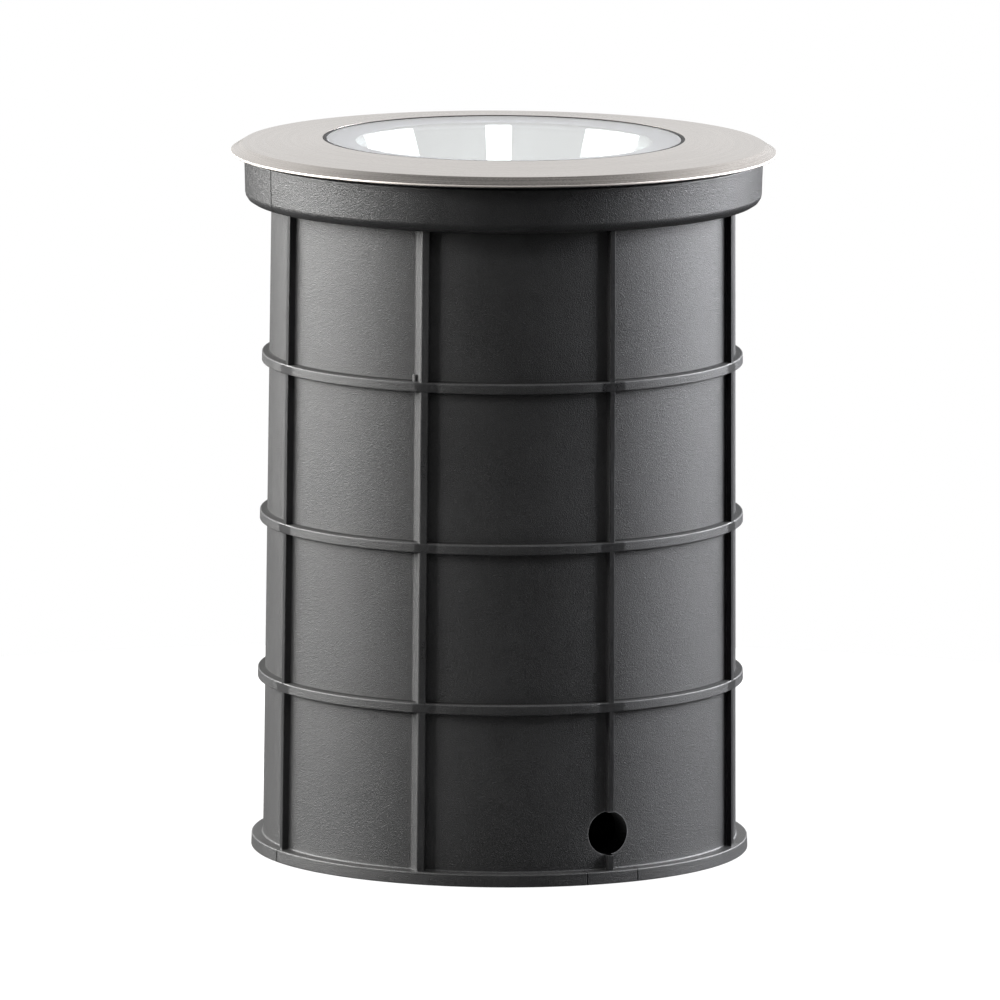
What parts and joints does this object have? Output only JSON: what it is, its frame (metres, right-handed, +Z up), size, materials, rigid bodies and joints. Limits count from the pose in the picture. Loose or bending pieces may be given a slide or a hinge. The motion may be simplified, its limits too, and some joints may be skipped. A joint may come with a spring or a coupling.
{
  "type": "in ground well light",
  "caption": "Round uplight with a stainless ring and thick glass over a faceted reflector, seated in a ribbed black canister.",
  "frame": {"origin": "centre of the canister's foot, on the plane that it stands on", "axes": "+Z up through the middle of the glass; the two cable holes lie on -Y and +Y"},
  "size_m": [0.26, 0.26, 0.3411],
  "materials": {
    "canister": "moulded, slightly glossy black",
    "trim_steel": "brushed round",
    "boss_steel": "turned",
    "glass": "clear, toughened",
    "gasket_rubber": "matte black",
    "cast_alloy": "die cast",
    "screw_steel": "plain stainless",
    "reflector_alloy": "bright anodised",
    "spreader_alloy": "milled",
    "led_board": "white ceramic with a yellow emitter",
    "holder_white": "moulded white",
    "lead_red": "silicone insulation",
    "bush_rubber": "grey silicone",
    "driver_case": "potted white case",
    "terminal_white": "moulded, milky",
    "lead_brown": "insulation",
    "lead_green": "insulation",
    "tag_brass": "tinned",
    "seal_rubber": "matte black",
    "gland_brass": "nickel plated",
    "gland_rubber": "matte black",
    "vent_plastic": "moulded black",
    "spring_steel": "rolled spring steel"
  },
  "bodies": {
    "canister": {"canister": "canister"},
    "lamp_unit": {"housing": "cast_alloy", "gear_cover": "cast_alloy", "cover_screws": "screw_steel", "reflector": "reflector_alloy", "reflector_screws": "screw_steel", "led_plate": "spreader_alloy", "plate_screws": "screw_steel", "led_cob": "led_board", "led_holder": "holder_white", "holder_screws": "screw_steel", "led_leads": "lead_red", "lead_bush": "bush_rubber", "driver": "driver_case", "driver_screws": "screw_steel", "terminal_block": "terminal_white", "terminal_screw": "screw_steel", "input_leads": "lead_brown", "earth_lead": "lead_green", "earth_tag": "tag_brass", "earth_screw": "screw_steel", "gear_cover_seal": "seal_rubber", "gear_cover_screws": "screw_steel", "gland_body": "gland_brass", "gland_locknut": "gland_brass", "gland_seal": "gland_rubber", "vent_plug": "vent_plastic", "spring_clips": "spring_steel", "clip_screws": "screw_steel"},
    "cover": {"trim_ring": "trim_steel", "trim_bosses": "boss_steel", "glass": "glass", "glass_gasket": "gasket_rubber"},
    "gland_nut": {"gland_nut": "gland_brass"}
  },
  "joints": [
    {"name": "lamp_unit_lift", "type": "slide", "parent": "canister", "child": "lamp_unit", "axis": [0, 0, 1], "range_m": [0, 0.25]},
    {"name": "cover_lift", "type": "slide", "parent": "lamp_unit", "child": "cover", "axis": [0, 0, 1], "range_m": [0, 0.06]},
    {"name": "gland_nut_turn", "type": "hinge", "parent": "lamp_unit", "child": "gland_nut", "pos_m": [0, 0, 0.1124], "axis": [0, 0, 1], "range_deg": [0, 720]}
  ]
}
